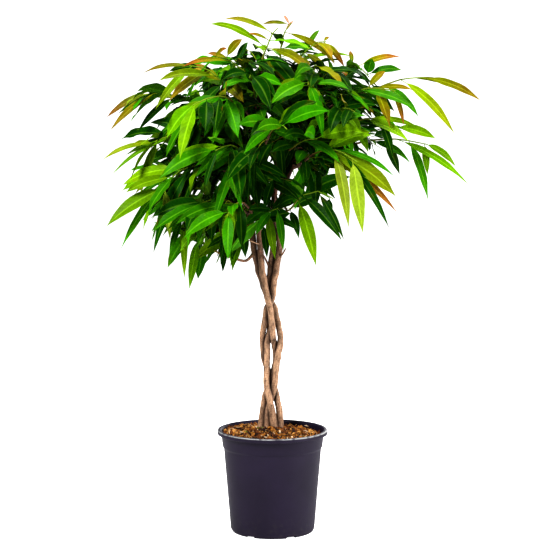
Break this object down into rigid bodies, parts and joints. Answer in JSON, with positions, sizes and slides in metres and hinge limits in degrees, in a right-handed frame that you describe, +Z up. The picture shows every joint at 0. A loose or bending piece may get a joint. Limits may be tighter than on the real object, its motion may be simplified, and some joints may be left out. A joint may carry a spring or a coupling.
{
  "type": "potted ficus",
  "caption": "Potted ficus tree with braided woody stems and a round crown of narrow drooping leaves, standing in a plain dark nursery pot filled with bark soil.",
  "frame": {"origin": "Middle of the pot, on the surface that the pot stands on.", "axes": "+Z runs up along the stems and is the longest extent; -Y faces the viewer of the picture and +X is to the right."},
  "size_m": [0.705, 0.5591, 0.975],
  "materials": {
    "pot_plastic": "satin dark slate-violet moulded plastic",
    "soil_chips": "rough orange-brown bark chips and potting soil",
    "bark": "matte red-brown bark with pale lenticels",
    "leaves": "glossy green leathery leaves, yellow-green and bronze where young"
  },
  "bodies": {
    "root": {"pot": "pot_plastic", "shoot_01": "leaves", "shoot_02": "leaves", "shoot_03": "leaves", "shoot_04": "leaves", "shoot_05": "leaves", "shoot_06": "leaves", "shoot_07": "leaves", "shoot_08": "leaves", "shoot_09": "leaves", "shoot_10": "leaves", "shoot_11": "leaves", "shoot_12": "leaves", "shoot_13": "leaves", "shoot_14": "leaves", "shoot_15": "leaves", "shoot_16": "leaves", "shoot_17": "leaves", "shoot_18": "leaves", "shoot_19": "leaves", "shoot_20": "leaves", "shoot_21": "leaves", "shoot_22": "leaves", "shoot_23": "leaves", "shoot_24": "leaves", "shoot_25": "leaves", "shoot_26": "leaves", "shoot_27": "leaves", "shoot_back_inner": "leaves", "shoot_front_inner": "leaves", "shoot_front_left": "leaves", "shoot_front_left_high": "leaves", "shoot_front_right": "leaves", "shoot_front_right_high": "leaves", "shoot_front_trunk": "leaves", "shoot_left_arch": "leaves", "shoot_left_far": "leaves", "shoot_left_far_top": "leaves", "shoot_left_low": "leaves", "shoot_left_low_inner": "leaves", "shoot_left_lowest": "leaves", "shoot_right_far": "leaves", "shoot_right_far_top": "leaves", "shoot_right_high": "leaves", "shoot_right_inner": "leaves", "shoot_right_low": "leaves", "shoot_right_middle": "leaves", "shoot_right_upper": "leaves", "shoot_top_left": "leaves", "shoot_top_left_tip": "leaves", "shoot_top_right": "leaves", "shoot_top_tip": "leaves", "soil": "soil_chips", "stem_front": "bark", "stem_left": "bark", "stem_middle": "bark", "stem_right": "bark"}
  },
  "joints": []
}
